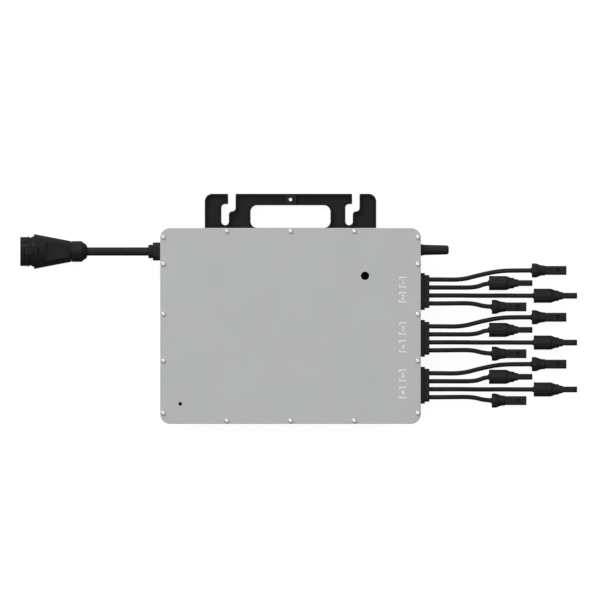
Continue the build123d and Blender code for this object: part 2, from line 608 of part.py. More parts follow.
def socket_pieces():
    """The socket half of a DC connector, along +X from the rear of its cap nut."""
    cap = turned(((0, CAP_R - 0.8), (0.8, CAP_R), (5.2, CAP_R), (8.0, 8.7), (10.6, 7.3),
                  (13.0, 6.8), (SOCKET_CAP_L, 6.65)))
    cap -= around_x(Pos(3.4, 0, CAP_R + 1.5) * Rot(0, 90, 0) * Cylinder(2.0, 8), 12)
    cap -= rod_x(SEAL_BORE_R, -1, SEAL_L)
    cap -= rod_x(5.5, SEAL_L - 1, SOCKET_CAP_L + 1)
    body = block_x(SOCKET_W, SOCKET_H, 2.6, SOCKET_CAP_L + 1.6, SOCKET_L)
    body = fillet(body.edges().group_by(Axis.X)[-1], 0.6)
    body += turned(((10.0, 5.4), (SOCKET_CAP_L + 0.1, 5.4), (SOCKET_CAP_L + 0.1, 6.6),
                    (SOCKET_CAP_L + 2.4, 6.2)))
    window = span((33.0, 40.6), (-3.3, 3.3), (ARM_LOW - 0.2, 10))
    arm_slot = span((32.5, SOCKET_L + 1), (-3.1, 3.1), (ARM_LOW - 0.2, ARM_TOP + 0.4))
    for turn in (0, 180):
        body -= [Rot(turn, 0, 0) * window, Rot(turn, 0, 0) * arm_slot]
    body -= rod_x(SOCKET_BORE_R, 24.0, SOCKET_L + 1)
    body -= rod_x(CRIMP_R + 0.05, LEAD_IN_CAP - 1, 25.0)
    tip = fillet(rod_x(PIN_R, 24.0, 40.0).edges().group_by(Axis.X)[-1], 0.8)
    pin = rod_x(CRIMP_R, LEAD_IN_CAP, 24.5) + tip
    return cap, body, pin


def lead_route(start_offset, connector_x, offset, corners, block_y):
    """The points that one DC lead's route turns at, from inside the gland block to inside the
    connector's cap."""
    first = (LEAD_START_X, block_y + start_offset, BLOCK_Z)
    last = (connector_x + LEAD_IN_CAP, block_y + offset, LEAD_REST_Z)
    middle = [(x, block_y + across, z) for x, across, z in corners]
    return [first, *middle, last]


def cord_radii(points):
    """The largest arc that each corner of a route leaves room for."""
    radii = []
    for a, b, c in zip(points, points[1:], points[2:]):
        before = Vector(*b) - Vector(*a)
        after = Vector(*c) - Vector(*b)
        turn = math.radians(before.get_angle(after))
        radii.append(0.45 * min(before.length, after.length) / math.tan(turn / 2))
    return radii


def cord_solid(name, points, diameter):
    """A round cord along straight runs joined by tangent arcs."""
    radii = cord_radii(points)
    path = FilletPolyline(*points, radius=radii)
    section = Plane(origin=path @ 0, z_dir=path % 0) * Circle(diameter / 2)
    solid = sweep(section, path=path)
    expected = math.pi * diameter ** 2 / 4 * path.length
    print(name, "length", round(path.length, 1), "volume ratio",
          round(solid.volume / expected, 4), "radii", [round(r) for r in radii])
    return solid


def make_leads_and_connectors():
    halves = {"plug": plug_pieces(), "socket": socket_pieces()}
    nodes = {kind: ([], [], []) for kind in halves}
    seals = []
    lip = turned(((-1.5, 3.5), (-1.5, 3.8), (0, SEAL_BORE_R - 0.05), (SEAL_L - 0.5, SEAL_BORE_R - 0.05),
                  (SEAL_L - 0.5, LEAD_D / 2 + 0.03), (3.2, LEAD_D / 2 + 0.03)), closed=True)
    for block, block_y in enumerate(BLOCK_Y):
        for n, (kind, x, offset, corners) in enumerate(LEADS):
            name = f"dc_lead_{4 * block + n + 1:02d}"
            points = lead_route((1.5 - n) * LEAD_PITCH, x, offset, corners, block_y)
            save(name, cord_solid(name, points, LEAD_D))
            place = Pos(x, block_y + offset, LEAD_REST_Z)
            seals.append(place * lip)
            for group, piece in zip(nodes[kind], halves[kind]):
                group.append(place * piece)
    save("dc_lead_seals", seals)
    save("dc_plug_nuts", nodes["plug"][0])
    save("dc_plug_bodies", nodes["plug"][1])
    save("dc_plug_contacts", nodes["plug"][2])
    save("dc_socket_nuts", nodes["socket"][0])
    save("dc_socket_bodies", nodes["socket"][1])
    save("dc_socket_pins", nodes["socket"][2])


def chip(x, y, wide, deep, tall):
    """A squared component standing on the board."""
    top = BOARD_Z + BOARD_T
    return span((x - wide / 2, x + wide / 2), (y - deep / 2, y + deep / 2), (top, top + tall))


def make_electronics():
    top = BOARD_Z + BOARD_T
    board = span(BOARD_X, BOARD_Y, (BOARD_Z, top))
    board -= [rod_z(1.7, BOARD_Z - 1, top + 1, x, y) for x, y in board_screw_places()]
    save("main_board", board)
    one = screw(M3_R, BOARD_T + 4.5, M3_HEAD_R, 1.8, 1.4)
    save("board_screws", [Pos(x, y, top) * one for x, y in board_screw_places()])

    row_y = [-87.5 + 35.0 * n for n in range(6)]
    transformers = []
    for y in row_y:
        core = chip(62, y, 30, 22, 14)
        winding = chip(62, y, 20, 29, 11)
        transformers.append(core + winding)
    save("power_transformers", transformers)
    save("bulk_capacitors", [rod_z(5.0, top, top + 13, 92 + 12 * side, y)
                             for y in row_y for side in (0, 1)])
    save("power_transistors", [chip(34 + 8 * side, y, 5, 16, 4) for y in row_y for side in (0, 1)])
    save("film_capacitors", [chip(12, y, 9, 26, 13) for y in row_y])
    choke_y = (-70, -10, 50)
    chokes = [Pos(-30, y, top + 6.5) * Torus(11, 6) for y in choke_y]
    save("filter_chokes", chokes)
    save("line_relays", [chip(-78, y, 28, 12, 14) for y in choke_y])
    save("radio_module", chip(126, 84, 22, 14, 3))
    dc_terminals = [chip(134, y + (1.5 - n) * LEAD_PITCH, 12, 8, 9) for y in BLOCK_Y for n in range(4)]
    save("dc_terminals", dc_terminals)
    save("ac_terminals", [chip(-122 + 9 * n, 76, 8, 14, 10) for n in range(5)])


os.makedirs("parts", exist_ok=True)
save("housing", make_housing())
make_cover_parts()
make_vent_and_light()
make_bracket()
make_antenna()
make_ac_gland()
make_ac_plug()
make_dc_glands()
make_leads_and_connectors()
make_electronics()
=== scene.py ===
import json
import math

import bmesh
import bpy
from mathutils import Matrix, Vector


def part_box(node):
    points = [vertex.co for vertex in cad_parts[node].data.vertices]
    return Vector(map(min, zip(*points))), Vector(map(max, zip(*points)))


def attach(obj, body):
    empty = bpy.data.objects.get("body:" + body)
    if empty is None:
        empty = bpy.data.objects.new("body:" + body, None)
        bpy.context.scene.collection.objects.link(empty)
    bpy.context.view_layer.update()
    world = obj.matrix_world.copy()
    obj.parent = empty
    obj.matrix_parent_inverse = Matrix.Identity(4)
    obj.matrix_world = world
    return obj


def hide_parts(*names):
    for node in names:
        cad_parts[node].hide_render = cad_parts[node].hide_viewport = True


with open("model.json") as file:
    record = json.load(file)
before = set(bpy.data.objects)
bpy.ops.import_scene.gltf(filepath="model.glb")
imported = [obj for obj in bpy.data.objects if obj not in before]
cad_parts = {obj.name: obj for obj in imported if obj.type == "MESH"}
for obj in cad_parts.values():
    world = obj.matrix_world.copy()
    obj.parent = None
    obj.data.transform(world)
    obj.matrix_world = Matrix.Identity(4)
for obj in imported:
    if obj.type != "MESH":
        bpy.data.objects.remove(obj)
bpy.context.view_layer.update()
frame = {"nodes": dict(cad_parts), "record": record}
node = frame["nodes"]
ROOT = "inverter"

# ---------------------------------------------------------------- camera
# Straight down on the cover, parallel projection, with the bracket at the top of the picture.
VIEW_WIDTH = 0.792
VIEW_CENTRE = (0.01254, 0.03419)
VIEW_HEIGHT = 1.2

camera_data = bpy.data.cameras.new("camera")
camera_data.type = "ORTHO"
camera_data.ortho_scale = VIEW_WIDTH
camera = bpy.data.objects.new("camera", camera_data)
camera.location = (*VIEW_CENTRE, VIEW_HEIGHT)
bpy.context.scene.collection.objects.link(camera)
bpy.context.scene.camera = camera


# ---------------------------------------------------------------- materials
NOISE_ROUGHNESS = 0.55
# Nearly all of a noise pattern lies between these two values.
PATTERN_RANGE = (0.3, 0.7)
EASED_SAMPLES = 3
MATT_SPECULAR = 0.24


class Recipe:
    """A node material built step by step. Places are in metres, in the object's own frame."""

    def __init__(self, name):
        self.material = bpy.data.materials.new(name)
        self.material.use_nodes = True
        self.tree = self.material.node_tree
        self.shader = self.tree.nodes["Principled BSDF"]
        self.place = self.add("ShaderNodeTexCoord").outputs["Object"]
        self.height = None

    def add(self, kind, **values):
        """A new node; values are socket names with _ for spaces."""
        made = self.tree.nodes.new(kind)
        for key, value in values.items():
            made.inputs[key.replace("_", " ")].default_value = value
        return made

    def link(self, output, target):
        self.tree.links.new(output, target)

    def stretched(self, scale):
        """The place, scaled differently along each axis."""
        mapping = self.add("ShaderNodeMapping", Scale=scale)
        self.link(self.place, mapping.inputs["Vector"])
        return mapping.outputs["Vector"]

    def noise(self, size, detail, place=None):
        """Noise from 0 to 1 whose blotches are about size metres."""
        made = self.add("ShaderNodeTexNoise", Scale=1.0 / size, Detail=detail,
                        Roughness=NOISE_ROUGHNESS)
        self.link(place or self.place, made.inputs["Vector"])
        return made.outputs["Fac"]

    def cells(self, size):
        """The distance to the nearest of scattered points about size metres apart."""
        made = self.add("ShaderNodeTexVoronoi", Scale=1.0 / size)
        self.link(self.place, made.inputs["Vector"])
        return made.outputs["Distance"]

    def colours(self, value, first, second):
        """Colours the piece between two tones by a pattern."""
        ramp = self.add("ShaderNodeValToRGB")
        ends = zip(ramp.color_ramp.elements, PATTERN_RANGE, (first, second))
        for element, position, colour in ends:
            element.position = position
            element.color = (*colour, 1)
        self.link(value, ramp.inputs["Fac"])
        self.link(ramp.outputs["Color"], self.shader.inputs["Base Color"])

    def rough(self, value, low, high):
        """Varies the roughness between two values by a pattern."""
        made = self.add("ShaderNodeMapRange", From_Min=PATTERN_RANGE[0],
                        From_Max=PATTERN_RANGE[1], To_Min=low, To_Max=high)
        self.link(value, made.inputs["Value"])
        self.link(made.outputs["Result"], self.shader.inputs["Roughness"])

    def raise_by(self, value, distance):
        """Adds a bump of a given height in metres."""
        bump = self.add("ShaderNodeBump", Distance=distance, Strength=1.0)
        self.link(value, bump.inputs["Height"])
        if self.height is not None:
            self.link(self.height, bump.inputs["Normal"])
        self.height = bump.outputs["Normal"]
        self.link(self.height, self.shader.inputs["Normal"])

    def eased(self, radius):
        """Shades sharp edges as if they were rounded by a radius in metres."""
        corner = self.add("ShaderNodeBevel", Radius=radius)
        corner.samples = EASED_SAMPLES
        self.height = corner.outputs["Normal"]
        return self

    def fixed(self, **values):
        """Sets constants on the shader itself."""
        for key, value in values.items():
            self.shader.inputs[key.replace("_", " ")].default_value = value
        return self


def grey(level, tint=0.0):
    """A near-neutral colour from a display grey of 0 to 255; a tint above 0 makes it bluer."""
    share = level / 255.0
    linear = share / 12.92 if share <= 0.04045 else ((share + 0.055) / 1.055) ** 2.4
    return (linear * (1 - tint), linear, linear * (1 + tint))


def powder_coat(name, level, grain, height, low, high, tint=0.01):
    """Sprayed and baked coat: fine orange peel over faint clouds of tone."""
    made = Recipe(name).eased(0.0004)
    made.colours(made.noise(0.05, 4), grey(level - 1.6, tint), grey(level + 1.6, tint))
    made.rough(made.noise(0.012, 5), low, high)
    made.raise_by(made.noise(grain, 2), height)
    made.raise_by(made.noise(grain * 0.28, 1), height * 0.3)
    return made.fixed(Specular_IOR_Level=MATT_SPECULAR).material


def moulded_plastic(name, level, low, high, height=2.2e-5):
    """Black moulded nylon: spark-eroded grain, with flow marks in its gloss."""
    made = Recipe(name).eased(0.00025)
    clouds = made.noise(0.014, 4, made.stretched((0.4, 1, 1)))
    made.colours(clouds, grey(level - 3, 0.02), grey(level + 3, 0.02))
    made.rough(made.noise(0.004, 5), low, high)
    made.raise_by(made.noise(0.0007, 3), height)
    made.raise_by(made.cells(0.00035), height * 0.35)
    return made.fixed(Specular_IOR_Level=MATT_SPECULAR).material


def cable_jacket(name, level, low, high, grain):
    """Extruded jacket: drawn lines along the cable, dusty and rubbed in patches."""
    made = Recipe(name)
    made.colours(made.noise(0.018, 4), grey(level - 3, 0.01), grey(level + 4, 0.01))
    made.rough(made.noise(0.006, 5), low, high)
    made.raise_by(made.noise(0.0011, 3, made.stretched((0.05, 1, 1))), grain)
    made.raise_by(made.noise(0.0006, 2), grain * 0.5)
    return made.fixed(Specular_IOR_Level=MATT_SPECULAR).material


def bright_steel(name, level, low, high):
    """Turned and passivated steel."""
    made = Recipe(name)
    made.colours(made.noise(0.002, 3), grey(level - 12), grey(level + 8))
    made.rough(made.noise(0.0009, 3), low, high)
    made.raise_by(made.noise(0.0004, 2), 6e-6)
    return made.fixed(Metallic=1.0).material


def plated_copper(name):
    """Tinned copper with the copper showing through."""
    made = Recipe(name)
    made.colours(made.noise(0.001, 3), (0.62, 0.46, 0.26), (0.72, 0.60, 0.42))
    made.rough(made.noise(0.0006, 3), 0.22, 0.36)
    made.raise_by(made.noise(0.0003, 2), 4e-6)
    return made.fixed(Metallic=1.0).material


def smoked_lens(name):
    """The dark window of the status light."""
    made = Recipe(name)
    made.colours(made.noise(0.003, 2), grey(3), grey(5))
    made.rough(made.noise(0.002, 3), 0.16, 0.24)
    made.raise_by(made.noise(0.001, 1), 3e-6)
    return made.fixed(Specular_IOR_Level=0.06).material


def deep_black(name):
    """A black moulding below the surface that hardly any light comes back from."""
    made = Recipe(name)
    made.colours(made.noise(0.002, 3), grey(3), grey(5))
    made.rough(made.noise(0.001, 3), 0.6, 0.75)
    made.raise_by(made.noise(0.0006, 2), 1e-5)
    return made.fixed(Specular_IOR_Level=0.03).material


def printed_mark(name, level):
    """Screen-printed ink: slightly uneven cover over the coat's grain."""
    made = Recipe(name)
    made.colours(made.noise(0.0012, 4), grey(level - 3), grey(level + 3))
    made.rough(made.noise(0.002, 3), 0.42, 0.55)
    made.raise_by(made.noise(0.0009, 2), 1.2e-5)
    return made.material


def laminate(name):
    """Green solder mask."""
    made = Recipe(name)
    made.colours(made.noise(0.006, 4), (0.008, 0.05, 0.022), (0.012, 0.075, 0.035))
    made.rough(made.noise(0.003, 3), 0.3, 0.45)
    made.raise_by(made.noise(0.0006, 2), 8e-6)
    return made.material


MATERIALS = {
    "cover_coat": powder_coat("cover_coat", 191, 0.0011, 1.6e-5, 0.5, 0.58),
    "cast_coat": powder_coat("cast_coat", 190, 0.0014, 3.5e-5, 0.48, 0.6),
    "bracket_coat": powder_coat("bracket_coat", 25, 0.0009, 4.5e-5, 0.58, 0.7, 0.02),
    "screw_steel": bright_steel("screw_steel", 225, 0.18, 0.3),
    "black_plastic": moulded_plastic("black_plastic", 25, 0.46, 0.6),
    "gland_plastic": moulded_plastic("gland_plastic", 26, 0.48, 0.6, 3e-5),
    "dc_jacket": cable_jacket("dc_jacket", 26, 0.44, 0.56, 1.2e-5),
    "ac_jacket": cable_jacket("ac_jacket", 25, 0.5, 0.64, 2.5e-5),
    "seal_rubber": moulded_plastic("seal_rubber", 24, 0.6, 0.75, 1.5e-5),
    "lens": smoked_lens("lens"),
    "contact": plated_copper("contact"),
    "circuit_board": laminate("circuit_board"),
    "component": moulded_plastic("component", 60, 0.35, 0.5),
    "membrane": deep_black("membrane"),
    "mark_ink": printed_mark("mark_ink", 240),
    "vent_black": deep_black("vent_black"),
    "plug_plastic": moulded_plastic("plug_plastic", 20, 0.5, 0.62, 3e-5),
}

look_of = {part["node"]: part["material_slot"] for part in frame["record"]["subparts"]}
# These mouldings are darker than the others that share their plastic.
look_of |= {"vent_body": "vent_black", "ac_plug_body": "plug_plastic",
            "ac_plug_nut": "plug_plastic", "ac_plug_latch": "plug_plastic"}
for name, piece in node.items():
    piece.data.materials.clear()
    piece.data.materials.append(MATERIALS[look_of[name]])


# ---------------------------------------------------------------- mesh helpers
SMOOTH_ANGLE = math.radians(32)
# The longest part of a side that a rounded corner may take.
CORNER_SHARE = 0.4
ON_AXIS = 1e-7
CORNER_STEPS = 6


def shown(name, data, slot, place=(0, 0, 0)):
    """A shown piece of the inverter from a mesh, curve or text that wears one material."""
    data.materials.clear()
    data.materials.append(MATERIALS[slot])
    piece = bpy.data.objects.new(name, data)
    piece.location = place
    bpy.context.scene.collection.objects.link(piece)
    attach(piece, ROOT)
    return piece


def mesh_from(name, grid):
    """A mesh from a bmesh, which ends here."""
    mesh = bpy.data.meshes.new(name)
    grid.to_mesh(mesh)
    grid.free()
    return mesh


def closed_mesh(name, grid):
    """A mesh from a closed bmesh, with its faces turned outwards."""
    bmesh.ops.recalc_face_normals(grid, faces=grid.faces)
    return mesh_from(name, grid)


def smooth(mesh):
    """Shades a mesh smooth except at its edges."""
    mesh.polygons.foreach_set("use_smooth", [True] * len(mesh.polygons))
    mesh.set_sharp_from_angle(angle=SMOOTH_ANGLE)
    return mesh


def soften(points, radius):
    """An outline whose inner corners are rounded by up to radius, three points to a corner."""
    out = [Vector(points[0])]
    for before, here, after in zip(points, points[1:], points[2:]):
        here = Vector(here)
        back = Vector(before) - here
        on = Vector(after) - here
        reach = min(radius, CORNER_SHARE * back.length, CORNER_SHARE * on.length)
        start = here + back.normalized() * reach
        end = here + on.normalized() * reach
        out += [start, (start + end + 2 * here) / 4, end]
    return out + [Vector(points[-1])]


def lathe(name, outline, steps, shape=None):
    """A closed turned mesh about X from (x, radius) points that start and end on the axis.
    shape(x, angle, radius) may change the radius around the turn."""
    grid = bmesh.new()
    rings = []
    for x, radius in outline:
        if radius < ON_AXIS:
            rings.append([grid.verts.new((x, 0, 0))])
            continue
        ring = []
        for step in range(steps):
            angle = 2 * math.pi * step / steps
            r = shape(x, angle, radius) if shape else radius
            ring.append(grid.verts.new((x, r * math.cos(angle), r * math.sin(angle))))
        rings.append(ring)
    for one, two in zip(rings, rings[1:]):
        for step in range(steps):
            after = (step + 1) % steps
            corners = [one[step % len(one)], one[after % len(one)],
                       two[after % len(two)], two[step % len(two)]]
            unique = list(dict.fromkeys(corners))
            if len(unique) > 2:
                grid.faces.new(unique)
    return closed_mesh(name, grid)


def loft(name, sections):
    """A closed mesh through sections, each a list of (x, y, z) of the same length."""
    grid = bmesh.new()
    rings = [[grid.verts.new(point) for point in section] for section in sections]
    count = len(rings[0])
    for one, two in zip(rings, rings[1:]):
        for step in range(count):
            after = (step + 1) % count
            grid.faces.new((one[step], one[after], two[after], two[step]))
    grid.faces.new(rings[0])
    grid.faces.new(rings[-1])
    return closed_mesh(name, grid)


def rounded_rectangle(x, wide, tall, radius):
    """A section in the YZ plane with rounded corners."""
    points = []
    for corner in range(4):
        centre_y = (wide / 2 - radius) * (1, -1, -1, 1)[corner]
        centre_z = (tall / 2 - radius) * (1, 1, -1, -1)[corner]
        for step in range(CORNER_STEPS + 1):
            angle = math.pi / 2 * (corner + step / CORNER_STEPS)
            points.append((x, centre_y + radius * math.cos(angle),
                           centre_z + radius * math.sin(angle)))
    return points


def prism(name, outline, low, high, axis="Y"):
    """A closed prism: an outline in XZ pushed along Y, or in XY pushed along Z."""
    if axis == "Y":
        return loft(name, [[(x, level, z) for x, z in outline] for level in (low, high)])
    return loft(name, [[(x, y, level) for x, y in outline] for level in (low, high)])


def joined(name, meshes):
    """One mesh of several separate closed shells."""
    grid = bmesh.new()
    for mesh in meshes:
        grid.from_mesh(mesh)
    return mesh_from(name, grid)


def helper_object(mesh):
    """An object that holds a mesh while modifiers work on it."""
    helper = bpy.data.objects.new("helper", mesh)
    bpy.context.scene.collection.objects.link(helper)
    return helper


def modified(target, others=()):
    """The target's mesh after its modifiers; the helper objects end here."""
    graph = bpy.context.evaluated_depsgraph_get()
    made = bpy.data.meshes.new_from_object(target.evaluated_get(graph))
    for helper in [target, *others]:
        bpy.data.objects.remove(helper)
    return made


def cut(mesh, tools):
    """The mesh with other meshes taken away."""
    target = helper_object(mesh)
    helpers = [helper_object(tool) for tool in tools]
    for helper in helpers:
        modifier = target.modifiers.new("cut", "BOOLEAN")
        modifier.operation = "DIFFERENCE"
        modifier.solver = "EXACT"
        modifier.object = helper
    return modified(target, helpers)


def bevelled(mesh, width, angle):
    """The mesh with the edges that are sharper than an angle eased."""
    target = helper_object(mesh)
    modifier = target.modifiers.new("ease", "BEVEL")
    modifier.width = width
    modifier.segments = 2
    modifier.limit_method = "ANGLE"
    modifier.angle_limit = angle
    return modified(target)


# ---------------------------------------------------------------- cords
LEAD_RADIUS = 0.00297
LEAD_STEP = 0.01056
LEAD_START_X = 0.176
BLOCK_HEIGHT = 0.025
REST_HEIGHT = 0.0096
IN_CAP = 0.010
BLOCK_Y = (0.0454, -0.0164, -0.0783)
# Each lead of a block: connector, rear of its cap, offset from the block, real length, route.
LEADS = (
    ("socket", 0.3184, 0.0278, 0.1556,
     ((0.196, 0.01584, 0.025), (0.226, 0.0154, 0.0192), (0.251, 0.0222, 0.0114),
      (0.277, 0.0274, 0.0068), (0.305, 0.0278, 0.0096))),
    ("plug", 0.262, 0.0111, 0.0987,
     ((0.193, 0.00528, 0.025), (0.218, 0.0052, 0.0200), (0.2445, 0.0052, 0.0116),
      (0.2585, 0.0111, 0.0096))),
    ("plug", 0.321, -0.0056, 0.1569,
     ((0.195, -0.00528, 0.025), (0.223, -0.0052, 0.0198), (0.252, -0.0056, 0.0112),
      (0.280, -0.0054, 0.0069), (0.307, -0.0056, 0.0096))),
    ("socket", 0.2656, -0.0203, 0.1019,
     ((0.194, -0.01584, 0.025), (0.2155, -0.0156, 0.0204), (0.2405, -0.0154, 0.012),
      (0.258, -0.0203, 0.0096))),
)

CORD_STEPS_ALONG = 16
CORD_STEPS_AROUND = 8

AC_RADIUS = 0.00555
AC_Y = 0.0982
AC_HEIGHT = 0.0231
AC_ROUTE = ((-0.176, AC_Y, AC_HEIGHT), (-0.277, AC_Y, AC_HEIGHT))


def cord_curve(name, points, radius, slot):
    """A smooth round cord along a route."""
    data = bpy.data.curves.new(name, "CURVE")
    data.dimensions = "3D"
    data.resolution_u = CORD_STEPS_ALONG
    data.bevel_depth = radius
    data.bevel_resolution = CORD_STEPS_AROUND
    data.use_fill_caps = True
    spline = data.splines.new("NURBS")
    spline.points.add(len(points) - 1)
    for point, place in zip(spline.points, points):
        point.co = (*place, 1.0)
    spline.order_u = 3
    spline.use_endpoint_u = True
    piece = shown(name, data, slot)
    return piece


# ---------------------------------------------------------------- DC connectors
# Each lies along X with the rear of its cap at 0; outlines are (x, radius) from the axis.
CAP_RADIUS = 0.0095
CAP_CHAMFER = 0.0002
PLUG_CAP = 0.0218
SOCKET_CAP = 0.0176
NOSE_RADIUS = 0.0039
NOSE_CHAMFER = 0.0006
PLUG_LENGTH = 0.0574
SOCKET_LENGTH = 0.0459
CABLE_HOLE = 0.00305
# Only the outer skin of a cap is fluted.
FLUTED_FROM = 0.7 * CAP_RADIUS
# Flat grips above and below the plug's collar.
GRIP_X = (0.0240, 0.0330)
GRIP_HALF = 0.0072
GRIP_CORE = 0.0066
GRIP_ABOVE = 0.0068
ARM_HALF = 0.0028
BORE_RADIUS = 0.00405
SLOT_HALF = 0.0031
WINDOW_HALF = 0.0030
RIB_HALF = 0.0042
RIB_SHIFTS = (0.0, 0.0018, 0.0036)
BEYOND = 0.001
# Sides of a turned mesh.
CAP_STEPS = 120
BODY_STEPS = 96
BORE_STEPS = 64
LIP_STEPS = 48
CONTACT_STEPS = 40
# A run steeper than this is a shoulder and needs no points between its ends.
SHOULDER = 0.002


def densify(outline, step):
    """Adds points on long runs so that shaping around the turn stays smooth."""
    out = [outline[0]]
    for a, b in zip(outline, outline[1:]):
        count = max(1, math.ceil((b - a).length / step)) if abs(a.y - b.y) < SHOULDER else 1
        out += [a.lerp(b, n / count) for n in range(1, count + 1)]
    return out


def flutes(count, depth, start, end, ease):
    """Shallow grooves around a turned piece, fading out towards start and end."""
    def shape(x, angle, radius):
        if radius < FLUTED_FROM or not start < x < end:
            return radius
        fade = min(1.0, (x - start) / ease, (end - x) / ease)
        wave = max(0.0, math.cos(count * angle)) ** 3
        return radius - depth * fade * wave
    return shape


def plug_cap_mesh():
    """Fluted cap nut of the plug, with the lip that the cable passes through."""
    outline = soften([
        (0.0010, 0), (0.0010, CABLE_HOLE), (0.0, CABLE_HOLE + 0.0006), (0.0, 0.0048),
        (0.0007, 0.0052), (0.0007, 0.0078), (0.0, 0.0082), (0.0, 0.0089), (0.0006, CAP_RADIUS),
        (0.0030, CAP_RADIUS), (PLUG_CAP - CAP_CHAMFER, CAP_RADIUS),
        (PLUG_CAP, CAP_RADIUS - CAP_CHAMFER), (PLUG_CAP, 0.0070), (0.014, 0.0070), (0.014, 0),
    ], 0.0004)
    fluted = flutes(10, 0.00055, 0.0026, PLUG_CAP - 0.0012, 0.0025)
    return smooth(lathe("plug_cap", densify(outline, 0.0009), CAP_STEPS, fluted))


def plug_body_mesh():
    """Collar, nose and two latch arms of the plug."""
    outline = soften([
        (0.0145, 0), (0.0145, 0.0068), (PLUG_CAP - 0.0004, 0.0068), (PLUG_CAP, 0.0093),
        (0.0232, 0.0092), (0.0254, 0.0085), (0.0256, 0.0081), (0.0272, 0.0078), (0.0274, 0.0074),
        (0.0290, 0.0071), (0.0324, 0.0070), (0.0341, 0.0053), (0.0377, 0.0051),
        (0.0390, NOSE_RADIUS), (PLUG_LENGTH - NOSE_CHAMFER, NOSE_RADIUS),
        (PLUG_LENGTH, NOSE_RADIUS - NOSE_CHAMFER), (PLUG_LENGTH, 0.0025), (0.050, 0.0025),
        (0.050, 0),
    ], 0.0005)

    def flats(x, angle, radius):
        if GRIP_X[0] < x < GRIP_X[1] and radius > GRIP_ABOVE:
            side = GRIP_HALF / max(abs(math.sin(angle)), ON_AXIS)
            return min(radius, max(side, GRIP_CORE))
        return radius

    core = lathe("plug_core", densify(outline, 0.001), BODY_STEPS, flats)
    arm_side = soften([
        (0.0300, 0.0058), (0.0300, 0.0068), (0.0330, 0.0072), (0.0440, 0.0072),
        (0.0443, 0.0066), (0.0502, 0.0066), (0.0505, 0.0080), (0.0535, 0.0080),
        (0.0566, 0.0064), (0.0566, 0.0056), (0.0330, 0.0056), (0.0300, 0.0058),
    ], 0.00035)[:-1]
    arms = []
    for turn in (0, math.pi):
        arm = bevelled(prism("arm", arm_side, -ARM_HALF, ARM_HALF), 0.0003, math.radians(40))
        arm.transform(Matrix.Rotation(turn, 4, "X"))
        arms.append(arm)
    return smooth(joined("plug_body", [core, *arms]))


def plug_contact_mesh():
    """The plug's contact: a rod with a blind hole in its front."""
    outline = soften([(0.0502, 0), (0.0502, 0.0023), (0.0556, 0.0023), (0.0556, 0.0015),
                      (0.0506, 0.0015), (0.0506, 0)], 0.0002)
    return smooth(lathe("plug_contact", outline, CONTACT_STEPS))


def socket_pin_mesh():
    """The socket's pin, with a tapered tip."""
    outline = soften([(0.0262, 0), (0.0262, 0.00145), (0.0394, 0.00145), (0.0400, 0.0006525),
                      (0.0400, 0)], 0.0004)
    return smooth(lathe("socket_pin", outline, CONTACT_STEPS))


def seal_mesh():
    """The lip of the cable seal that shows behind the cap."""
    outline = soften([(-0.0015, CABLE_HOLE - 0.0001), (-0.0015, 0.0034), (-0.0002, 0.0040),
                      (0.0006, 0.0045), (0.0006, CABLE_HOLE - 0.0001)], 0.0003)
    return smooth(lathe("seal_lip", [*outline, outline[0]], LIP_STEPS))


def socket_cap_mesh():
    """Fluted cap nut of the socket, waisted towards the body."""
    outline = soften([
        (0.0010, 0), (0.0010, CABLE_HOLE), (0.0, CABLE_HOLE + 0.0006), (0.0, 0.0086),
        (0.0008, CAP_RADIUS), (0.0050, CAP_RADIUS), (0.0066, 0.0092), (0.0084, 0.0084),
        (0.0104, 0.0075), (0.0128, 0.0069), (0.0150, 0.0067), (SOCKET_CAP, 0.00665),
        (SOCKET_CAP, 0.0056), (0.014, 0.0056), (0.014, 0),
    ], 0.0006)
    fluted = flutes(12, 0.0005, 0.0008, 0.0088, 0.0015)
    return smooth(lathe("socket_cap", densify(outline, 0.0008), CAP_STEPS, fluted))


def socket_body_mesh():
    """Square-shouldered body of the socket, with its bore, arm slots and latch windows."""
    width, tall = 0.0119, 0.0165
    front = SOCKET_LENGTH
    sections = [
        rounded_rectangle(0.0150, 0.0110, 0.0110, 0.0054),
        rounded_rectangle(0.0176, 0.0112, 0.0118, 0.0052),
        rounded_rectangle(0.0177, 0.0119, 0.0128, 0.0048),
        rounded_rectangle(0.0190, width, 0.0152, 0.0036),
        rounded_rectangle(0.0204, width, tall, 0.0028),
        rounded_rectangle(front - 0.0006, width, tall, 0.0028),
        rounded_rectangle(front, width - 0.0010, tall - 0.0010, 0.0024),
    ]
    body = loft("socket_body", sections)
    past = front + BEYOND
    tools = [lathe("bore", [(0.026, 0), (0.026, BORE_RADIUS), (front - 0.0006, BORE_RADIUS),
                            (front, 0.0046), (past, 0.0046), (past, 0)], BORE_STEPS)]
    slot = [(0.0325, 0.0054), (0.0325, 0.0076), (past, 0.0076), (past, 0.0054)]
    window = [(0.0322, 0.0048), (0.0322, 0.0095), (0.0372, 0.0095), (0.0372, 0.0048)]
    rib = [(0.0222, 0.0079), (0.0222, 0.0095), (0.0228, 0.0095), (0.0228, 0.0079)]
    ribs = [([(x + shift, z) for x, z in rib], RIB_HALF) for shift in RIB_SHIFTS]
    for side in (1, -1):
        for outline, half in ((slot, SLOT_HALF), (window, WINDOW_HALF), *ribs):
            tools.append(prism("recess", [(x, side * z) for x, z in outline], -half, half))
    return smooth(bevelled(cut(body, tools), 0.00018, math.radians(50)))


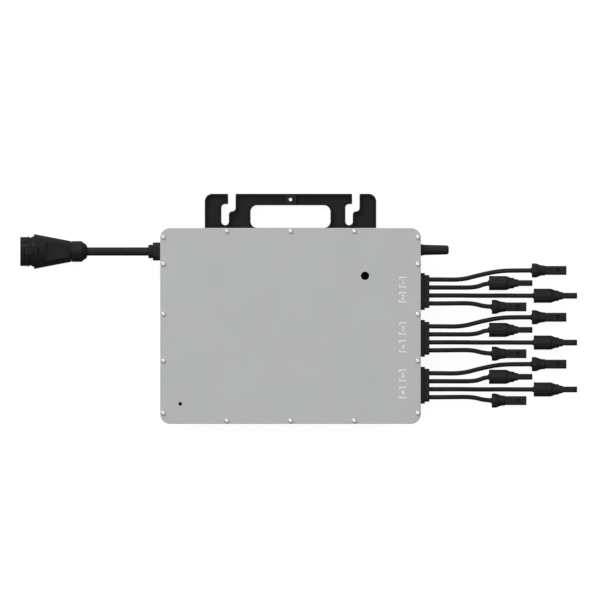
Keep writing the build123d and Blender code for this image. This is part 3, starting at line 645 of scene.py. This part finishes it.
HALVES = {
    "plug": (
        ("cap", plug_cap_mesh(), "black_plastic", "dc_plug_nuts"),
        ("body", plug_body_mesh(), "black_plastic", "dc_plug_bodies"),
        ("contact", plug_contact_mesh(), "contact", "dc_plug_contacts"),
        ("seal", seal_mesh(), "seal_rubber", "dc_lead_seals"),
    ),
    "socket": (
        ("cap", socket_cap_mesh(), "black_plastic", "dc_socket_nuts"),
        ("body", socket_body_mesh(), "black_plastic", "dc_socket_bodies"),
        ("pin", socket_pin_mesh(), "contact", "dc_socket_pins"),
        ("seal", seal_mesh(), "seal_rubber", "dc_lead_seals"),
    ),
}


def connector(label, kind, x, y):
    """The separate pieces of one connector, on the end of its lead."""
    pieces = []
    for part, mesh, slot, stands_for in HALVES[kind]:
        piece = shown(f"{kind}_{part}_{label}", mesh, slot, (x, y, REST_HEIGHT))
        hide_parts(stands_for)
        pieces.append(piece)
    return pieces


for block, block_y in enumerate(BLOCK_Y):
    for number, (kind, connector_x, offset, length, route) in enumerate(LEADS):
        label = f"{4 * block + number + 1:02d}"
        start_y = block_y + (1.5 - number) * LEAD_STEP
        points = [(LEAD_START_X, start_y, BLOCK_HEIGHT)]
        points += [(x, block_y + across, z) for x, across, z in route]
        points.append((connector_x + IN_CAP, block_y + offset, REST_HEIGHT))
        lead = cord_curve(f"lead_{label}", points, LEAD_RADIUS, "dc_jacket")
        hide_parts(f"dc_lead_{label}")
        on_it = connector(label, kind, connector_x, block_y + offset)

ac_cable = cord_curve("ac_cable_jacket", AC_ROUTE, AC_RADIUS, "ac_jacket")
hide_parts("ac_cable")


# ---------------------------------------------------------------- marks on the cover
MARK_LINE = 0.0013
MARK_THICK = 0.00006
MARK_X = (0.1436, 0.1531)
MARK_STUB = 0.0035
DIGIT_X = 0.1486
DIGIT_SIZE = 0.00868
DIGIT_BOLD = 0.00012
# Top and bottom of each bracket and the middle of its number, from the top of the cover down.
MARK_Y = (
    (0.0649, 0.0507, 0.0573), (0.0447, 0.0309, 0.0375), (0.00475, -0.01135, -0.0037),
    (-0.0189, -0.03485, -0.0276), (-0.0578, -0.0730, -0.0655), (-0.0805, -0.0954, -0.0879),
)


def mark_outlines(top, bottom):
    """The two corners of a square bracket whose back is broken in the middle."""
    left, right = MARK_X
    inner = left + MARK_LINE
    return [
        [(right, edge), (left, edge), (left, edge + way * MARK_STUB),
         (inner, edge + way * MARK_STUB), (inner, edge + way * MARK_LINE),
         (right, edge + way * MARK_LINE)]
        for edge, way in ((top, -1), (bottom, 1))
    ]


def make_marks():
    """A printed bracket and number on the cover for each input."""
    cover_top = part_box("front_cover")[1].z
    for number, (top, bottom, middle) in enumerate(MARK_Y, 1):
        corners = [prism("mark", outline, cover_top, cover_top + MARK_THICK, "Z")
                   for outline in mark_outlines(top, bottom)]
        shown(f"mark_{number}", joined("mark", corners), "mark_ink")
        text = bpy.data.curves.new(f"number_{number}", "FONT")
        text.body = str(number)
        text.size = DIGIT_SIZE
        text.extrude = MARK_THICK
        text.offset = DIGIT_BOLD
        text.align_x = "CENTER"
        text.align_y = "CENTER"
        shown(f"number_{number}", text, "mark_ink", (DIGIT_X, middle, cover_top))


make_marks()


# ---------------------------------------------------------------- floor and light
FLOOR_REACH = 4.0
FLOOR_DROP = 0.0002
FLOOR_TONES = ((0.17, 0.17, 0.17), (0.18, 0.18, 0.18))
FLOOR_GLOW = 0.92
WORLD_FROM = (-0.3, 0.75, 0.59)
WORLD_DARKEST = 0.14
WORLD_BRIGHTEST = 0.88
# The cosines to WORLD_FROM at which the world is at its darkest and at its brightest.
WORLD_FADE = (-0.5, 0.9)
KEY_PLACE = (-2.1, 3.2, 2.5)
KEY_SIZE = 1.5
KEY_POWER = 75
FILL_PLACE = (1.0, 0.0, 4.2)
FILL_SIZE = 2.4
FILL_POWER = 10


def make_stage():
    """A pale floor that is lit evenly and sends no light back up at the object."""
    mesh = bpy.data.meshes.new("floor")
    far = FLOOR_REACH
    mesh.from_pydata([(-far, -far, 0), (far, -far, 0), (far, far, 0), (-far, far, 0)], [],
                     [(0, 1, 2, 3)])
    made = Recipe("floor")
    made.colours(made.noise(0.4, 2), *FLOOR_TONES)
    made.rough(made.noise(0.1, 2), 0.85, 0.95)
    made.fixed(Emission_Color=(1, 1, 1, 1), Emission_Strength=FLOOR_GLOW,
               Specular_IOR_Level=0.1)
    mesh.materials.append(made.material)
    floor = bpy.data.objects.new("floor", mesh)
    floor.location = (0, 0, -FLOOR_DROP)
    floor.visible_diffuse = False
    floor.visible_glossy = False
    bpy.context.scene.collection.objects.link(floor)


def soft_light(name, place, size, power):
    """A round lamp that faces the object's origin."""
    data = bpy.data.lights.new(name, "AREA")
    data.shape = "DISK"
    data.size = size
    data.energy = power
    light = bpy.data.objects.new(name, data)
    light.location = place
    light.rotation_euler = (-Vector(place)).to_track_quat("-Z", "Y").to_euler()
    bpy.context.scene.collection.objects.link(light)


def make_world():
    """White light that is brightest from one side, in front of an even white backdrop."""
    world = bpy.data.worlds.new("studio")
    world.use_nodes = True
    tree = world.node_tree
    background = tree.nodes["Background"]
    background.inputs["Color"].default_value = (1, 1, 1, 1)
    way = tree.nodes.new("ShaderNodeTexCoord")
    along = tree.nodes.new("ShaderNodeVectorMath")
    along.operation = "DOT_PRODUCT"
    along.inputs[1].default_value = WORLD_FROM
    level = tree.nodes.new("ShaderNodeMapRange")
    level.inputs["From Min"].default_value = WORLD_FADE[0]
    level.inputs["From Max"].default_value = WORLD_FADE[1]
    level.inputs["To Min"].default_value = WORLD_DARKEST
    level.inputs["To Max"].default_value = WORLD_BRIGHTEST
    tree.links.new(way.outputs["Generated"], along.inputs[0])
    tree.links.new(along.outputs["Value"], level.inputs["Value"])
    seen = tree.nodes.new("ShaderNodeLightPath")
    strength = tree.nodes.new("ShaderNodeMath")
    strength.operation = "MAXIMUM"
    tree.links.new(level.outputs["Result"], strength.inputs[0])
    tree.links.new(seen.outputs["Is Camera Ray"], strength.inputs[1])
    tree.links.new(strength.outputs["Value"], background.inputs["Strength"])
    bpy.context.scene.world = world


make_stage()
make_world()
soft_light("key", KEY_PLACE, KEY_SIZE, KEY_POWER)
soft_light("fill", FILL_PLACE, FILL_SIZE, FILL_POWER)
bpy.context.scene.view_settings.view_transform = "Standard"
